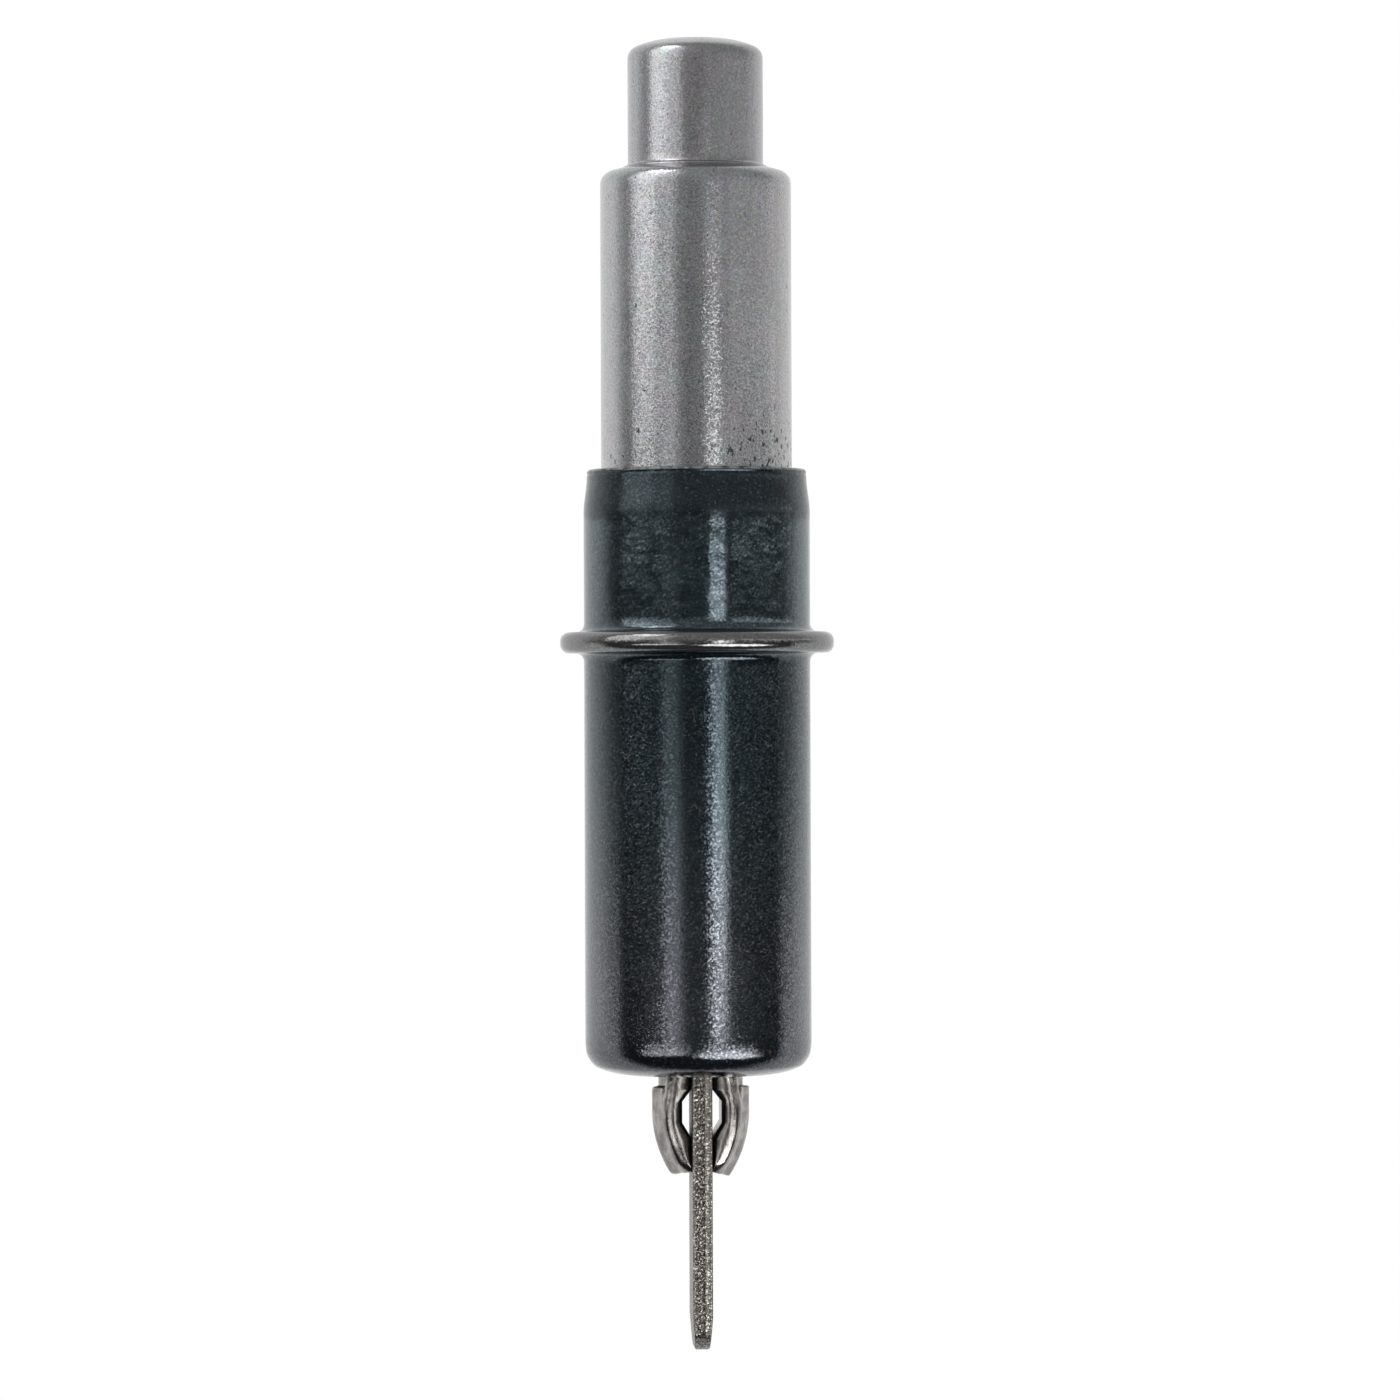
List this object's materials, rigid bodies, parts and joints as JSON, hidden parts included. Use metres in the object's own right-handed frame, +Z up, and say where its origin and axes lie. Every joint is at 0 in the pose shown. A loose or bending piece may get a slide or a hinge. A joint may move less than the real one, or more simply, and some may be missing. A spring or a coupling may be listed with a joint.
{
  "type": "temporary sheet fastener",
  "caption": "Plier-operated spring fastener with a beaded housing, a stepped plunger, a spreader bar and step-cut locks, for holding sheets in line.",
  "frame": {"origin": "middle of the seat that bears on the sheet", "axes": "+Z up the axis from the seat to the plunger, X across the broad faces of the spreader bar, from lock to lock"},
  "size_m": [0.013, 0.013, 0.0619],
  "materials": {
    "black_oxide_steel": "black oxide on drawn steel, half gloss, worn at the bead and rim",
    "tumbled_steel": "tumbled drawn steel, fine grain, dull",
    "hardened_steel": "bare hardened strip, half gloss, drawn lines",
    "blanked_steel": "bare strip with rough blanked edges",
    "spring_steel": "oiled spring wire"
  },
  "bodies": {
    "housing": {"housing": "black_oxide_steel", "spreader_bar": "blanked_steel", "return_spring": "spring_steel"},
    "plunger": {"plunger": "tumbled_steel", "lock_left": "hardened_steel", "lock_right": "hardened_steel"}
  },
  "joints": [
    {"name": "plunger_slide", "type": "slide", "parent": "housing", "child": "plunger", "axis": [0, 0, -1], "range_m": [0, 0.013], "stiffness_N_per_m": 2400, "springref_m": -0.0133, "deforming": ["return_spring"]}
  ]
}
